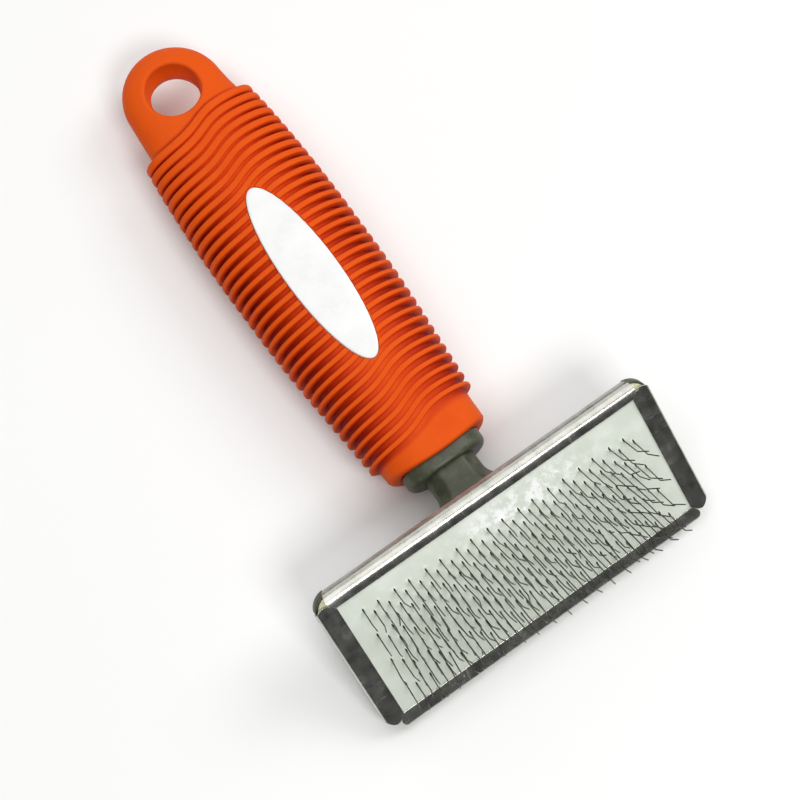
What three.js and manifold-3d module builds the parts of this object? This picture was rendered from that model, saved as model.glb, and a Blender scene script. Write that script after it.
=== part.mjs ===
// Slicker brush, lying on its back with the pins up. Millimetres.
// X runs across the head, +Y towards the hanging end, +Z up.
// A soft ribbed sleeve covers the tang of a rigid core. The core widens into a tray behind the
// tilted head, four folded steel rails hold the pad's layers on the tray, and rows of bent wire
// pins stand in the pad.
import * as THREE from 'three';
import { mergeVertices } from 'three/addons/utils/BufferGeometryUtils.js';
import Module from 'manifold-3d';

const wasm = await Module();
wasm.setup();

// ---------------------------------------------------------------- driving dimensions
const GAP = 0.3; // between neighbouring pieces
const rad = THREE.MathUtils.degToRad;

// Handle. Distances along it are counted from the centre of the hanging hole towards the head.
const HOLE_RADIUS = 7.2;
const TAIL_LENGTH = 15.9;
const TAIL_HALF_WIDTH = 15.15;
const TAIL_HALF_THICKNESS = 6.8;
const SLEEVE_END = 130;
const SLEEVE_EDGE = 2.2; // rounding of the sleeve's end
const SLEEVE_ROUNDNESS = 2.3; // superellipse exponent of the sleeve's section
// [distance, half width, half thickness] of the sleeve between its ribs
const SLEEVE_BODY = [
  [0, 15.15, 6.8], [9, 16.0, 7.2], [20, 17.2, 9.2], [35, 18.6, 11.1], [50, 19.0, 11.9],
  [65, 18.9, 12.2], [80, 18.6, 12.1], [96, 17.8, 11.8], [111, 17.1, 11.4], [121, 16.6, 11.1],
  [130, 16.35, 10.9],
];
// [distance, height at the sides, height on the front and back] of the ribs
const RIB_HEIGHT = [[12, 2.9, 0.9], [35, 2.3, 0.95], [91, 2.25, 0.95], [120, 1.7, 0.9]];
const RIB_COUNT = 35;
const RIB_FIRST = 12.5;
const RIB_PITCH = 3.16;
const RIB_SWING = 2.15; // how far a rib's ends are offset along the handle
const RIB_SWING_WIDTH = 5.5;

const TANG_START = 14;
const TANG_SMALL = [6.5, 3.2]; // half width, half thickness
const TANG_LARGE = [10.5, 6.4];
const TANG_ROUNDNESS = 3;
const COLLAR_LENGTH = 3.7;
const COLLAR_HALF = [12.5, 8.7];
const COLLAR_EDGE = 1.4;
const NECK_HALF = [7.7, 5.8];
const NECK_FACET = [4.0, 2.6]; // half width of the front facet, half height of the side facet
const NECK_FILLET = 5; // where the neck fans out behind the head
const FAN_START = 138.3;
const FAN_HALF = [24, 4.8];

const BADGE_HALF = [7.45, 29.9];
const BADGE_CENTRE = 69.3;
const BADGE_TOP = 13.0;
const BADGE_THICKNESS = 1.1;

// Head. Its own frame has X across, Y towards the handle and Z out of the pad's face.
const HEAD_TILT = rad(40);
const HEAD_DISTANCE = 164.6;
const HEAD_RISE = 4.62;
const OPENING = [48, 18.95]; // half width and half depth of the pad's open face
const RAIL_WIDTH = [5.7, 4.6]; // of the side rails, and of the near and far ones
const SHEET = 0.45; // steel
const RAIL_TOP = 0.75;
const RAIL_BOTTOM = -4.05;
const RAIL_UNDER = 3.6; // width of the flange under the tray
const RAIL_BEND = 1.1;
const RAIL_REACH = 2.2; // past the opening's corners
const RAIL_END_RADIUS = 2.0;
const EDGE_CLEAR = SHEET + GAP;
const FACE = [-0.4, 0];
const FOUNDATION = [-1.2, -0.65];
const CUSHION = [-3.7, -2.2];
const TRAY_TOP = -2.15;
const TRAY_FLANGE = -3.3;
const TRAY_BOTTOM = -6.6;
const TRAY_CORNER = 5.5;
const TRAY_INSET = 4.6; // from the flange's edge to the thicker middle
const TRAY_WALL = 1.6;
const POCKET_FLOOR = -4.0;
const PAD_INSET = 1.3; // of the face and foundation from the tray's edge

// Pins: one row is a crown wire under the foundation with bent pins standing on it. Two neighbouring
// pins are the legs of one staple. Each row starts half a pin pitch after the row before it, four rows
// long, and then the pattern starts again; the last two rows of the four have one staple less.
const ROW_COUNT = 14;
const ROW_FIRST = 12.6;
const ROW_PITCH = 2.08;
const ROW_SKEW = rad(-1.9);
const ROW_REPEAT = 4;
const PIN_COUNT = 18;
const PIN_PITCH = 4.88;
const PIN_START = -43;
const STAPLE_INSET = 0.165; // of each leg from its even place, towards the other leg
const WIRE = 0.45;
const CROWN_DEPTH = -1.7;
const CROWN_OVERHANG = 0.5;
const LEG_LENGTH = 9;
const LEG_LEAN = rad(19); // away from the handle, in the middle of the head
const LEAN_FAN = rad(0.45); // more of it for each millimetre farther from the handle
const TIP_LENGTH = 5;
const TIP_LEAN = rad(-20); // back towards the handle
const SLOT_WIDTH = 1.3;
const SLOT_OVERHANG = 1.1;

// ---------------------------------------------------------------- helpers
function steel(colour, roughness) {
  return new THREE.MeshStandardMaterial({ color: colour, roughness, metalness: 1 });
}

function plain(colour, roughness) {
  return new THREE.MeshStandardMaterial({ color: colour, roughness, metalness: 0 });
}

const ORANGE_RUBBER = plain(0xd8400f, 0.55);
const OLIVE_PLASTIC = plain(0x474a3c, 0.45);
const WHITE_PLASTIC = plain(0xf4f4f2, 0.3);
const RAIL_STEEL = steel(0x8a8a86, 0.3);
const PALE_RUBBER = plain(0xcfd8d0, 0.5);
const CREAM_CLOTH = plain(0xd9d6ae, 0.8);
const GREY_FOAM = plain(0x8f9188, 0.95);
const PIN_STEEL = steel(0x5c5a55, 0.35);

function toSolid(geometry) {
  const bare = geometry.index ? geometry.clone() : geometry;
  bare.deleteAttribute('normal');
  bare.deleteAttribute('uv');
  const merged = mergeVertices(bare, 1e-4);
  return new wasm.Manifold(new wasm.Mesh({
    numProp: 3,
    vertProperties: new Float32Array(merged.attributes.position.array),
    triVerts: new Uint32Array(merged.index.array),
  }));
}

function toGeometry(solid) {
  const mesh = solid.getMesh();
  const geometry = new THREE.BufferGeometry();
  geometry.setAttribute('position', new THREE.BufferAttribute(mesh.vertProperties, 3));
  geometry.setIndex(new THREE.BufferAttribute(mesh.triVerts, 1));
  geometry.computeVertexNormals();
  return geometry;
}

// A closed skin through rings of points, with flat ends. Rings have equal counts.
function loft(rings) {
  const sides = rings[0].length;
  const points = rings.flat();
  const triangles = [];
  for (let r = 0; r + 1 < rings.length; r++) {
    for (let i = 0; i < sides; i++) {
      const a = r * sides + i;
      const b = r * sides + ((i + 1) % sides);
      triangles.push(a, b, a + sides, b, b + sides, a + sides);
    }
  }
  const last = (rings.length - 1) * sides;
  for (let i = 1; i + 1 < sides; i++) {
    triangles.push(0, i + 1, i, last, last + i, last + i + 1);
  }
  const geometry = new THREE.BufferGeometry();
  const flat = points.flatMap((p) => [p.x, p.y, p.z]);
  geometry.setAttribute('position', new THREE.BufferAttribute(new Float32Array(flat), 3));
  geometry.setIndex(triangles);
  return geometry;
}

// Smooth value of a table's column between its stations.
function along(table, distance, column) {
  const last = table.length - 1;
  if (distance <= table[0][0]) return table[0][column];
  if (distance >= table[last][0]) return table[last][column];
  let i = 0;
  while (distance > table[i + 1][0]) i++;
  const slope = (j) => {
    const low = table[Math.max(j - 1, 0)];
    const high = table[Math.min(j + 1, last)];
    return (high[column] - low[column]) / (high[0] - low[0]);
  };
  const span = table[i + 1][0] - table[i][0];
  const t = (distance - table[i][0]) / span;
  return (2 * t ** 3 - 3 * t ** 2 + 1) * table[i][column]
    + (t ** 3 - 2 * t ** 2 + t) * span * slope(i)
    + (3 * t ** 2 - 2 * t ** 3) * table[i + 1][column]
    + (t ** 3 - t ** 2) * span * slope(i + 1);
}

// A ring across the handle at a distance from the hole; swing bends it along the handle.
function handleRing(distance, [halfWidth, halfThickness], exponent, sides, swing = 0) {
  const ring = [];
  for (let i = 0; i < sides; i++) {
    const angle = (i / sides) * 2 * Math.PI;
    const c = Math.cos(angle);
    const s = Math.sin(angle);
    const x = halfWidth * Math.sign(c) * Math.abs(c) ** (2 / exponent);
    const z = halfThickness * Math.sign(s) * Math.abs(s) ** (2 / exponent);
    ring.push(new THREE.Vector3(x, -distance + swing * Math.tanh(x / RIB_SWING_WIDTH), z));
  }
  return ring;
}

function roundedRectangle(halfWidth, halfDepth, radius, path = new THREE.Shape()) {
  path.moveTo(-halfWidth + radius, -halfDepth);
  path.lineTo(halfWidth - radius, -halfDepth);
  path.absarc(halfWidth - radius, -halfDepth + radius, radius, -Math.PI / 2, 0, false);
  path.lineTo(halfWidth, halfDepth - radius);
  path.absarc(halfWidth - radius, halfDepth - radius, radius, 0, Math.PI / 2, false);
  path.lineTo(-halfWidth + radius, halfDepth);
  path.absarc(-halfWidth + radius, halfDepth - radius, radius, Math.PI / 2, Math.PI, false);
  path.lineTo(-halfWidth, -halfDepth + radius);
  path.absarc(-halfWidth + radius, -halfDepth + radius, radius, Math.PI, 1.5 * Math.PI, false);
  return path;
}

// A plan outline raised between two heights.
function slab(shape, [bottom, top], curveSegments = 4) {
  const options = { depth: top - bottom, bevelEnabled: false, curveSegments };
  return new THREE.ExtrudeGeometry(shape, options).translate(0, 0, bottom);
}

function inHeadFrame(geometry) {
  return geometry.rotateX(HEAD_TILT).translate(0, -HEAD_DISTANCE, HEAD_RISE);
}

function named(name, geometry, material) {
  const mesh = new THREE.Mesh(geometry, material);
  mesh.name = name;
  return mesh;
}

// ---------------------------------------------------------------- handle
function tangRings(clearance) {
  const grown = (half) => half.map((value) => value + clearance);
  const start = TANG_START - clearance;
  return [
    handleRing(start, grown(TANG_SMALL), TANG_ROUNDNESS, 16),
    handleRing(SLEEVE_END + 1, grown(TANG_LARGE), TANG_ROUNDNESS, 16),
  ];
}

function sleeveRings() {
  const sides = 24;
  const body = (d) => [along(SLEEVE_BODY, d, 1), along(SLEEVE_BODY, d, 2)];
  const rings = [];
  for (const degrees of [9, 24, 39, 54, 72]) {
    const angle = rad(degrees);
    const half = [TAIL_HALF_WIDTH * Math.sin(angle), TAIL_HALF_THICKNESS];
    rings.push(handleRing(-TAIL_LENGTH * Math.cos(angle), half, SLEEVE_ROUNDNESS, sides));
  }
  rings.push(handleRing(0, body(0), SLEEVE_ROUNDNESS, sides));
  rings.push(handleRing(6, body(6), SLEEVE_ROUNDNESS, sides));
  for (let i = 0; i < RIB_COUNT; i++) {
    const distance = RIB_FIRST + i * RIB_PITCH;
    const groove = distance - RIB_PITCH / 2;
    const [width, thickness] = body(distance);
    const side = along(RIB_HEIGHT, distance, 1);
    const front = along(RIB_HEIGHT, distance, 2);
    rings.push(handleRing(groove, body(groove), SLEEVE_ROUNDNESS, sides, RIB_SWING));
    const crest = [width + side, thickness + front];
    rings.push(handleRing(distance, crest, SLEEVE_ROUNDNESS, sides, RIB_SWING));
  }
  const lastGroove = RIB_FIRST + (RIB_COUNT - 0.5) * RIB_PITCH;
  rings.push(handleRing(lastGroove, body(lastGroove), SLEEVE_ROUNDNESS, sides, RIB_SWING));
  for (const share of [1, 0.4, 0]) {
    const distance = SLEEVE_END - SLEEVE_EDGE * share;
    const inset = SLEEVE_EDGE * (1 - Math.sqrt(1 - (1 - share) ** 2));
    const half = body(distance).map((value) => value - inset);
    rings.push(handleRing(distance, half, SLEEVE_ROUNDNESS, sides));
  }
  return rings;
}

function gripSleeve() {
  const hole = new THREE.CylinderGeometry(HOLE_RADIUS, HOLE_RADIUS, 40, 24).rotateX(Math.PI / 2);
  const recess = slab(
    new THREE.Shape().absellipse(
      0, -BADGE_CENTRE, BADGE_HALF[0] + GAP, BADGE_HALF[1] + GAP, 0, 2 * Math.PI),
    [BADGE_TOP - BADGE_THICKNESS - GAP, BADGE_TOP + 5], 16);
  const solid = toSolid(loft(sleeveRings()))
    .subtract(toSolid(loft(tangRings(GAP))))
    .subtract(toSolid(hole))
    .subtract(toSolid(recess));
  return named('grip_sleeve', toGeometry(solid), ORANGE_RUBBER);
}

function badge() {
  const shape = new THREE.Shape().absellipse(
    0, -BADGE_CENTRE, BADGE_HALF[0] - 0.4, BADGE_HALF[1] - 0.4, 0, 2 * Math.PI);
  const options = {
    depth: BADGE_THICKNESS - 0.8, bevelThickness: 0.4, bevelSize: 0.4, bevelSegments: 2, curveSegments: 16,
  };
  const geometry = new THREE.ExtrudeGeometry(shape, options);
  return named('badge', geometry.translate(0, 0, BADGE_TOP - BADGE_THICKNESS + 0.4), WHITE_PLASTIC);
}

function neck() {
  const [w, h] = NECK_HALF;
  const [facet, side] = NECK_FACET;
  const outline = [[facet, h], [-facet, h], [-w, side], [-w, -side], [-facet, -h], [facet, -h], [w, -side],
    [w, side]];
  const ring = (distance) => outline.map(([x, z]) => new THREE.Vector3(x, -distance, z));
  return toSolid(loft([ring(SLEEVE_END + COLLAR_LENGTH - 1), ring(HEAD_DISTANCE - 8)]));
}

function fan() {
  const shape = new THREE.Shape();
  const [edge, depth] = FAN_HALF;
  const far = HEAD_DISTANCE;
  shape.moveTo(NECK_HALF[0], -FAN_START);
  shape.absarc(NECK_HALF[0] + NECK_FILLET, -FAN_START, NECK_FILLET, Math.PI, 1.5 * Math.PI, false);
  shape.lineTo(edge, -FAN_START - NECK_FILLET - 2);
  shape.lineTo(edge, -far);
  shape.lineTo(-edge, -far);
  shape.lineTo(-edge, -FAN_START - NECK_FILLET - 2);
  shape.absarc(-NECK_HALF[0] - NECK_FILLET, -FAN_START, NECK_FILLET, 1.5 * Math.PI, 2 * Math.PI, false);
  return toSolid(slab(shape, [-depth, depth], 5));
}

// Half width and half depth of the head at a distance inside its outer edge.
function headHalf(inset) {
  return OPENING.map((half, i) => half + RAIL_WIDTH[i] - inset);
}

function tray() {
  const edge = headHalf(EDGE_CLEAR);
  const middle = headHalf(EDGE_CLEAR + TRAY_INSET);
  const pocket = headHalf(EDGE_CLEAR + TRAY_INSET + TRAY_WALL);
  const flange = slab(roundedRectangle(...edge, TRAY_CORNER), [TRAY_FLANGE, TRAY_TOP]);
  const body = slab(roundedRectangle(...middle, 3), [TRAY_BOTTOM, TRAY_TOP - 0.5]);
  const hollow = slab(roundedRectangle(...pocket, 2), [POCKET_FLOOR, 1]);
  return toSolid(inHeadFrame(flange))
    .add(toSolid(inHeadFrame(body)))
    .subtract(toSolid(inHeadFrame(hollow)));
}

function handleCore() {
  const collarStart = SLEEVE_END + GAP;
  const collarEnd = SLEEVE_END + COLLAR_LENGTH;
  const narrowed = COLLAR_HALF.map((value) => value - COLLAR_EDGE);
  const collar = loft([
    handleRing(collarStart, COLLAR_HALF, 2.2, 24),
    handleRing(collarEnd - COLLAR_EDGE, COLLAR_HALF, 2.2, 24),
    handleRing(collarEnd, narrowed, 2.2, 24),
  ]);
  const aboveTray = inHeadFrame(slab(roundedRectangle(80, 60, 1), [TRAY_BOTTOM + 0.3, 80]));
  const stem = neck().add(fan()).subtract(toSolid(aboveTray));
  const solid = toSolid(loft(tangRings(0))).add(toSolid(collar)).add(stem).add(tray());
  return named('handle_core', toGeometry(solid), OLIVE_PLASTIC);
}

// ---------------------------------------------------------------- steel rails
// Folded section: a lip over the pad, a wall, and a flange under the tray. Origin at the lip's edge.
function railSection(outer) {
  const shape = new THREE.Shape();
  const inner = RAIL_BEND - SHEET;
  shape.moveTo(0, RAIL_TOP - SHEET);
  shape.lineTo(outer - RAIL_BEND, RAIL_TOP - SHEET);
  shape.absarc(outer - RAIL_BEND, RAIL_TOP - RAIL_BEND, inner, Math.PI / 2, 0, true);
  shape.lineTo(outer - SHEET, RAIL_BOTTOM + RAIL_BEND);
  shape.absarc(outer - RAIL_BEND, RAIL_BOTTOM + RAIL_BEND, inner, 0, -Math.PI / 2, true);
  shape.lineTo(outer - RAIL_UNDER, RAIL_BOTTOM + SHEET);
  shape.lineTo(outer - RAIL_UNDER, RAIL_BOTTOM);
  shape.lineTo(outer - RAIL_BEND, RAIL_BOTTOM);
  shape.absarc(outer - RAIL_BEND, RAIL_BOTTOM + RAIL_BEND, RAIL_BEND, -Math.PI / 2, 0, false);
  shape.lineTo(outer, RAIL_TOP - RAIL_BEND);
  shape.absarc(outer - RAIL_BEND, RAIL_TOP - RAIL_BEND, RAIL_BEND, 0, Math.PI / 2, false);
  shape.lineTo(0, RAIL_TOP);
  return shape;
}

// Outline seen from above: mitred from the opening's corner, then rounded at the outer edge.
function railPlan(halfOpening, width) {
  const corner = halfOpening - 0.2;
  const end = corner + RAIL_REACH;
  const r = RAIL_END_RADIUS;
  const shape = new THREE.Shape();
  shape.moveTo(-corner, 0);
  shape.lineTo(corner, 0);
  shape.lineTo(end, RAIL_REACH);
  shape.lineTo(end, width - r);
  shape.absarc(end - r, width - r, r, 0, Math.PI / 2, false);
  shape.lineTo(r - end, width);
  shape.absarc(r - end, width - r, r, Math.PI / 2, Math.PI, false);
  shape.lineTo(-end, RAIL_REACH);
  return shape;
}

// A rail along one side: turn is its angle about the head's normal, reach its lip's distance out.
function rail(name, halfOpening, reach, width, turn) {
  const length = 2 * (halfOpening + RAIL_REACH);
  const options = { depth: length, bevelEnabled: false, curveSegments: 3 };
  const folded = new THREE.ExtrudeGeometry(railSection(width), options)
    .applyMatrix4(new THREE.Matrix4().set(0, 0, 1, -length / 2, 1, 0, 0, 0, 0, 1, 0, 0, 0, 0, 0, 1));
  const outline = slab(railPlan(halfOpening, width), [RAIL_BOTTOM - 1, RAIL_TOP + 1]);
  const geometry = toGeometry(toSolid(folded).intersect(toSolid(outline)));
  geometry.translate(0, reach, 0).rotateZ(turn);
  return named(name, inHeadFrame(geometry), RAIL_STEEL);
}

function rails() {
  return [
    rail('rail_near', OPENING[0], OPENING[1], RAIL_WIDTH[1], 0),
    rail('rail_left', OPENING[1], OPENING[0], RAIL_WIDTH[0], Math.PI / 2),
    rail('rail_far', OPENING[0], OPENING[1], RAIL_WIDTH[1], Math.PI),
    rail('rail_right', OPENING[1], OPENING[0], RAIL_WIDTH[0], -Math.PI / 2),
  ];
}

// ---------------------------------------------------------------- pad
function rowStart(row) {
  return PIN_START + (row % ROW_REPEAT) * (PIN_PITCH / 2);
}

function rowPins(row) {
  return row % ROW_REPEAT < ROW_REPEAT / 2 ? PIN_COUNT : PIN_COUNT - 2;
}

function rowY(row) {
  return ROW_FIRST - row * ROW_PITCH;
}

function rowLean(row) {
  return LEG_LEAN - LEAN_FAN * rowY(row);
}

// Slits in a sheet of these heights, one for each row, where the row's leaning legs pass through it.
function rowSlits(heights) {
  const slits = [];
  const turn = (x, y) => new THREE.Vector2(x, y).rotateAround(new THREE.Vector2(), ROW_SKEW);
  for (let row = 0; row < ROW_COUNT; row++) {
    const left = rowStart(row) - SLOT_OVERHANG;
    const width = (rowPins(row) - 1) * PIN_PITCH + 2 * SLOT_OVERHANG;
    const overCrown = (heights[0] + heights[1]) / 2 - CROWN_DEPTH;
    const y = rowY(row) - Math.tan(rowLean(row)) * overCrown;
    const half = SLOT_WIDTH / 2;
    slits.push(new THREE.Path([
      turn(left, y - half), turn(left, y + half),
      turn(left + width, y + half), turn(left + width, y - half),
    ]));
  }
  return slits;
}

function padSheet(name, heights, material) {
  const shape = roundedRectangle(...headHalf(EDGE_CLEAR + PAD_INSET), TRAY_CORNER - PAD_INSET);
  shape.holes.push(...rowSlits(heights));
  return named(name, inHeadFrame(slab(shape, heights)), material);
}

function foamCushion() {
  const half = headHalf(EDGE_CLEAR + TRAY_INSET + TRAY_WALL + GAP);
  const geometry = slab(roundedRectangle(...half, 1.7), CUSHION);
  return named('foam_cushion', inHeadFrame(geometry), GREY_FOAM);
}

// One bent pin of three-sided wire, standing on the crown wire at x.
function pin(x, legLean) {
  const lean = (length, angle) => [-length * Math.sin(angle), length * Math.cos(angle)];
  const knee = lean(LEG_LENGTH, legLean);
  const tip = lean(TIP_LENGTH, TIP_LEAN);
  const centres = [[0, 0], knee, [knee[0] + tip[0], knee[1] + tip[1]]];
  const half = WIRE / 2;
  const rings = centres.map(([y, z]) => [
    new THREE.Vector3(x - half, y - half, CROWN_DEPTH + z),
    new THREE.Vector3(x + half, y - half, CROWN_DEPTH + z),
    new THREE.Vector3(x, y + half, CROWN_DEPTH + z),
  ]);
  return toSolid(loft(rings));
}

function pinRow(row) {
  const start = rowStart(row);
  const count = rowPins(row);
  const span = (count - 1) * PIN_PITCH;
  const crown = new THREE.BoxGeometry(span + 2 * CROWN_OVERHANG, WIRE, WIRE)
    .translate(start + span / 2, 0, CROWN_DEPTH);
  let solid = toSolid(crown);
  for (let i = 0; i < count; i++) {
    const inset = i % 2 === 0 ? STAPLE_INSET : -STAPLE_INSET;
    solid = solid.add(pin(start + i * PIN_PITCH + inset, rowLean(row)));
  }
  const geometry = toGeometry(solid).translate(0, rowY(row), 0).rotateZ(ROW_SKEW);
  return named(`pin_row_${String(row + 1).padStart(2, '0')}`, inHeadFrame(geometry), PIN_STEEL);
}

// ---------------------------------------------------------------- assembly
const brush = new THREE.Group();
brush.add(gripSleeve(), handleCore(), badge(), ...rails());
brush.add(
  padSheet('face_skin', FACE, PALE_RUBBER),
  padSheet('pin_foundation', FOUNDATION, CREAM_CLOTH),
  foamCushion(),
);
for (let row = 0; row < ROW_COUNT; row++) {
  brush.add(pinRow(row));
}

// The brush rests on Z = 0, with the origin under the middle of its box.
const bounds = new THREE.Box3().setFromObject(brush);
const centre = bounds.getCenter(new THREE.Vector3());
brush.position.set(-centre.x, -centre.y, -bounds.min.z);

export default new THREE.Group().add(brush);
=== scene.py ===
import math
import random

import bmesh
import bpy
import numpy as np
from mathutils import Matrix, Vector, geometry, noise


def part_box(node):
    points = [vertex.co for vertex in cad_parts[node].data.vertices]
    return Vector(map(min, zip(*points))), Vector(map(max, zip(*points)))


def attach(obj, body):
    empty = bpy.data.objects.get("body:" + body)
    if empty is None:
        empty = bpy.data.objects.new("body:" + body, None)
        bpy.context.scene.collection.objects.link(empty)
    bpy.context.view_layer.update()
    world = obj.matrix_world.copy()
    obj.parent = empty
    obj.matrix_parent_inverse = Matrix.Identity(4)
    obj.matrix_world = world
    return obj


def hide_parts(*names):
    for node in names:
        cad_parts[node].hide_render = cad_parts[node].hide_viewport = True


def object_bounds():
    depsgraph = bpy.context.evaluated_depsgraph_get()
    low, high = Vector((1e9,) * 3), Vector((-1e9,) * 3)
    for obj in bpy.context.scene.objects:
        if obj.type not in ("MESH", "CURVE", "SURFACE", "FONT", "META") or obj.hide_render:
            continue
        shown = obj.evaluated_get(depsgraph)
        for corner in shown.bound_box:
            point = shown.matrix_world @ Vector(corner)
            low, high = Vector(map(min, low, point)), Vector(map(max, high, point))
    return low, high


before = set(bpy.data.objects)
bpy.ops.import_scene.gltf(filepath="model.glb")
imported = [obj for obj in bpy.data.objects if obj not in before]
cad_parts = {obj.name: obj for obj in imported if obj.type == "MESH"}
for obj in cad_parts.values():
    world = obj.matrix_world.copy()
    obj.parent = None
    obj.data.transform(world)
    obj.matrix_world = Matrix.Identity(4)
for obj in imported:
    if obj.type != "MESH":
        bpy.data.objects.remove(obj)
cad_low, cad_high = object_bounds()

# A slicker brush lying on its back with the pins up. The frame is in metres, and the pieces are
# worked out in millimetres, in one of two frames of their own:
# handle frame: X across, -Y along the handle from the hanging hole towards the head, Z up;
# head frame: X across, Y towards the handle, Z out of the pad's face.
MM = 0.001

# -------------------- dimensions, millimetres
HOLE_RADIUS = 7.2
HOLE_RIM = 7.75
HOLE_STRETCH = 0.7  # the rim reaches this much farther towards the hanging end
HOLE_FILLET = 1.0
HOLE_LINE = [(0.14, 0.0), (0.1, 0.16), (0.0, 0.3)]  # faint parting line: how proud, and height
HOLE_FLARE = (0.9, 0.07)  # the cutter runs on this far past the rim's fillet, rising by this
CUTTER_TOP = 20.0
TAIL_HALF = (15.15, 6.8)  # half width and half thickness at the middle of the hanging end
TAIL_REACH = 15.7
SLEEVE_END = 130.0
SLEEVE_EDGE = 0.9
SLEEVE_ROUNDNESS = 2.3
GROOVE_ROUNDNESS = 2.08  # of the section between the ribs, which is deep at the shoulders
SLEEVE_SIDES = 144
# distance from the hole, half width and half thickness of the sleeve between its ribs
SLEEVE_BODY = [
    (0, 15.15, 6.8), (9, 16.0, 7.2), (20, 17.2, 9.2), (35, 18.15, 11.1), (50, 18.45, 11.9),
    (65, 18.3, 12.2), (80, 18.0, 12.1), (96, 17.2, 11.8), (111, 16.5, 11.4), (121, 16.1, 11.1),
    (130, 15.9, 10.7),
]
# distance, height of the ribs at the sides and at the front, half their width there, edge rounding
RIBS = [
    (12, 2.9, 0.8, 1.15, 1.2, 0.85), (35, 2.8, 0.75, 0.82, 0.98, 0.45),
    (60, 2.95, 0.65, 0.6, 0.88, 0.3), (91, 2.95, 0.55, 0.48, 0.84, 0.24),
    (120, 2.2, 0.5, 0.44, 0.82, 0.22),
]
RIB_COUNT = 35
RIB_FIRST = 12.5
RIB_PITCH = 3.16
RIB_SWING = 2.15  # how far the ribs' wave reaches along the handle, to each side
RIB_SWING_WIDTH = 5.5
RIB_SWING_START = 3.0
RIB_SWING_END = SLEEVE_END - 2
RIB_SHOULDER = (0.55, 0.995)  # shares of the rib's flat half width and of its height
RIB_ROUNDING_SHARE = 0.42  # the edge's rounding is at most this share of the rib's height
RIB_FEET = [(0.05, 0.14), (0.17, 0.02)]  # out from the rib's side, and share of its height
GROOVE_START = (RIB_FIRST - 1, 30)  # where the section between the ribs takes on its roundness
GROOVE_FINISH = (108, 120.5)  # where it loses it again
GROOVE_FRONT_SHADE = 0.15  # how dark the grooves' painted shade is at the front, against 1 at the sides
FIRST_GROOVE = RIB_FIRST - RIB_PITCH / 2
LAST_GROOVE = FIRST_GROOVE + RIB_COUNT * RIB_PITCH
END_CROWN = (0.3, 2.4)  # the end reaches this far on at its middle, and falls away by this
COUNTERBORE = (12.8, 9.0)
COUNTERBORE_FLOOR = 128.9
MOUTH_EDGE = 0.15
COLLAR_ROUNDNESS = 2.2
TANG_ROUNDNESS = 3
TANG_START = 14.0
TANG_SMALL = (6.5, 3.2)
TANG_LARGE = (10.5, 6.4)
GAP = 0.3
ROUND_SIDES = 96

BADGE_HALF = (7.45, 29.9)
BADGE_CENTRE = 69.3
BADGE_CAD_TOP = 13.0
BADGE_THICKNESS = 1.1
BADGE_DOME = 0.4
BADGE_PROUD = 0.85  # over the sleeve between its ribs
BADGE_MIDDLE = 0.02  # the smallest ring's share of the oval
# the badge's rounded edge: share of the oval, height over the middle line
BADGE_EDGE = [(0.965, -0.03), (0.985, -0.1), (0.997, -0.22), (1.0, -0.4)]
RECESS_MARGIN = 0.22
RECESS_UNDER = 0.15
RECESS_TOP = 6

COLLAR_START = 129.2
COLLAR_END = 133.8
COLLAR_HALF = (12.5, 8.7)
COLLAR_EDGE = (2.4, 0.8, 2.0)  # rounding at the sides, at the front, and along the handle
NECK_HALF = (7.7, 5.8)
NECK_FACET = (4.0, 2.6)
NECK_FILLET = 5.0
NECK_START = COLLAR_END - 0.8
NECK_EDGE = 0.8
FAN_START = 138.3
FAN_HALF = 24.0
FAN_OVERRUN = (2, 4)  # past its fillet, and past the head's middle

HEAD_TILT = math.radians(40)
HEAD_DISTANCE = 164.6
HEAD_RISE = 4.62
OPENING = (48.0, 18.95)  # half sizes between the rails' lips
RAIL_WIDTH = (5.7, 4.6)  # of the side rails, and of the near and the far one
SHEET = 0.45  # the rails' steel
RAIL_TOP = 0.75
RAIL_BOTTOM = -4.05
RAIL_UNDER = 3.6
RAIL_BEND = 1.15
TIGHT_BEND = (0.85, 0.85)
NEAR_BEND = (2.6, 3.4)  # the near rail is rolled rounder than the others
RAIL_COLUMNS = 61
RAIL_SWELL = 0.02  # of the lip's width
RAIL_WAVE = 0.05
RAIL_BURR = 0.1
TRAY_TOP = -1.3
TRAY_FLANGE = -3.3
TRAY_BOTTOM = -6.6
TRAY_CORNERS = (5.5, 8)  # radii at the handle's side and at the far side
TRAY_INSET = 5.35
TRAY_EDGE = 1.2
POCKET_INSET = 6.95
POCKET_FLOOR = -4.0
BLOCK_INSET = 0.06  # the corner blocks' distance inside the rails' outer faces
BLOCK_GAP = (0.3, 0.45)  # from the opening's corner, across and along the handle
BLOCK_NOTCH = 2.5
BLOCK_EDGE = 0.35

SKIN = 0.4
SKIN_OVER_CROWN = 1.8  # the middle of the skin's tents over the staples' crowns
SKIN_SLOT = (0.29, 0.82)  # half sizes of a slot, which is long where the pins rock
SKIN_INSET = 2.3
SKIN_CORNERS = (4.6, 6.5)
RELIEF_RINGS = (0.96, 1.18)  # radii of the rings of points round a pin
RELIEF_STEP = 1.15
RELIEF_JITTER = 0.3
RELIEF_EDGE = 1.2
RELIEF_CLEAR = 1.25
SKIN_TENTS = (0.2, 0.42)  # lowest and highest lift of the skin round a pin
SKIN_FOLD = 0.2
SKIN_RIPPLE = 0.12
SCUFF_PLACE = (9, 13.5)  # the powdery marks' middle and reach
SCUFF_HALF = (17, 3.6)
PIN_SHADE_REACH = 2.4  # the reach of the painted shade round a pin
CLOTH = 0.5
CLOTH_SLOT = (0.32, 0.7)
CLOTH_INSET = 0.65
CLOTH_CORNERS = (5.0, 7.6)
CLOTH_TOP = -0.62  # before the pad's rise lifts it
FOAM_UNDER_CROWN = 0.75
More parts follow.
